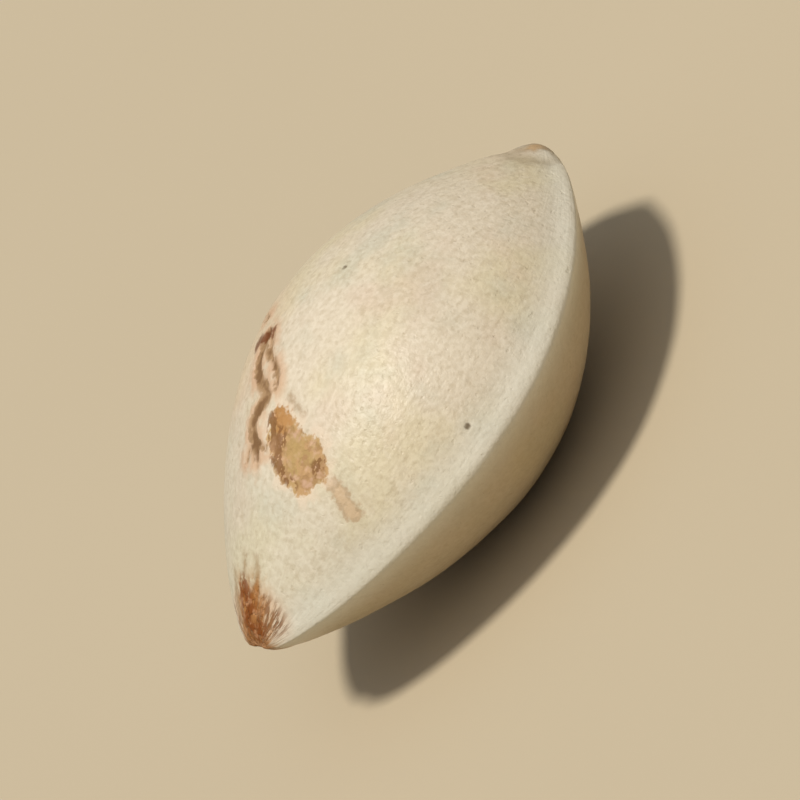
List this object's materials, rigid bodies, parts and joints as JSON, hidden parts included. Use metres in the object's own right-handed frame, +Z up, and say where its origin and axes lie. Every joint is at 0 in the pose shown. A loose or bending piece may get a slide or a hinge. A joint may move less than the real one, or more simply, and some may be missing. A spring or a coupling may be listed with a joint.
{
  "type": "ginkgo nut in shell",
  "caption": "Lens-shaped ginkgo nut in its dry pale shell, with a raised keel along each edge, a small nub at the apex and a blunt base, lying on its belly.",
  "frame": {"origin": "on the surface that the nut lies on, under the middle of its box", "axes": "+X from the base to the apex, +Y across from keel to keel, +Z up"},
  "size_m": [0.0234, 0.0176, 0.0116],
  "materials": {
    "shell": "dry, chalky, matt to satin, with a very fine grain along the nut"
  },
  "bodies": {
    "root": {"ginkgo_nut": "shell"}
  },
  "joints": []
}
